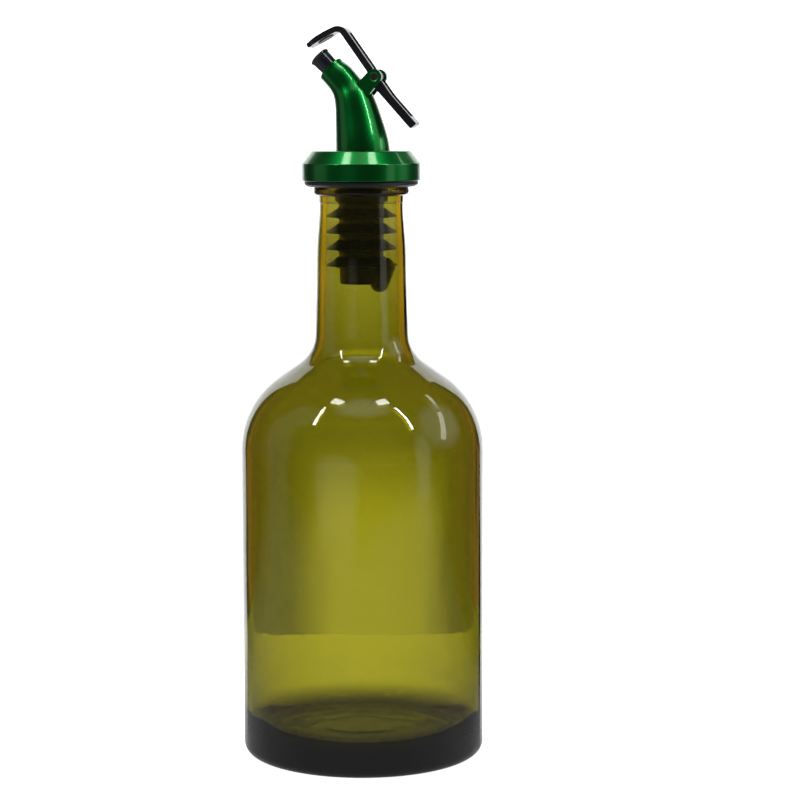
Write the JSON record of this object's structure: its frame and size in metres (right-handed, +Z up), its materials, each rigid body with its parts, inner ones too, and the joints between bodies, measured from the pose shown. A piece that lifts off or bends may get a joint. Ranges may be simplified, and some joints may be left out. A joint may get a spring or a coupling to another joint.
{
  "type": "oil dispenser bottle",
  "caption": "Green glass oil bottle with a finned rubber stopper, an angled pouring spout and a flip lever that caps the spout.",
  "frame": {"origin": "centre of the bottle's foot, on the surface it stands on", "axes": "+Z up the bottle, spout pours towards -X, lever tail points towards +X"},
  "size_m": [0.0802, 0.0802, 0.2411],
  "materials": {
    "green_glass": "clear olive-green glass",
    "grey_rubber": "satin soft rubber",
    "black_core": "matt moulded plastic",
    "grey_vent": "satin moulded plastic",
    "green_metallic": "glossy metallic green lacquer",
    "black_nozzle": "glossy moulded plastic",
    "black_lever": "glossy moulded plastic",
    "pad_rubber": "smooth soft rubber",
    "dark_pin": "dark, slightly sunken pin ends"
  },
  "bodies": {
    "bottle": {"glass_bottle": "green_glass"},
    "stopper": {"plug_sleeve": "grey_rubber", "plug_core": "black_core", "vent_tube": "grey_vent", "spout_housing": "green_metallic", "pour_tube": "black_nozzle", "lever_pin": "dark_pin"},
    "flip_lever": {"lever": "black_lever", "lever_pad": "pad_rubber"}
  },
  "joints": [
    {"name": "stopper_lift", "type": "slide", "parent": "bottle", "child": "stopper", "axis": [0, 0, 1], "range_m": [0, 0.065]},
    {"name": "lever_flip", "type": "hinge", "parent": "stopper", "child": "flip_lever", "pos_m": [0.0054, 0, 0.2246], "axis": [0, 1, 0], "range_deg": [-16, 24]}
  ]
}
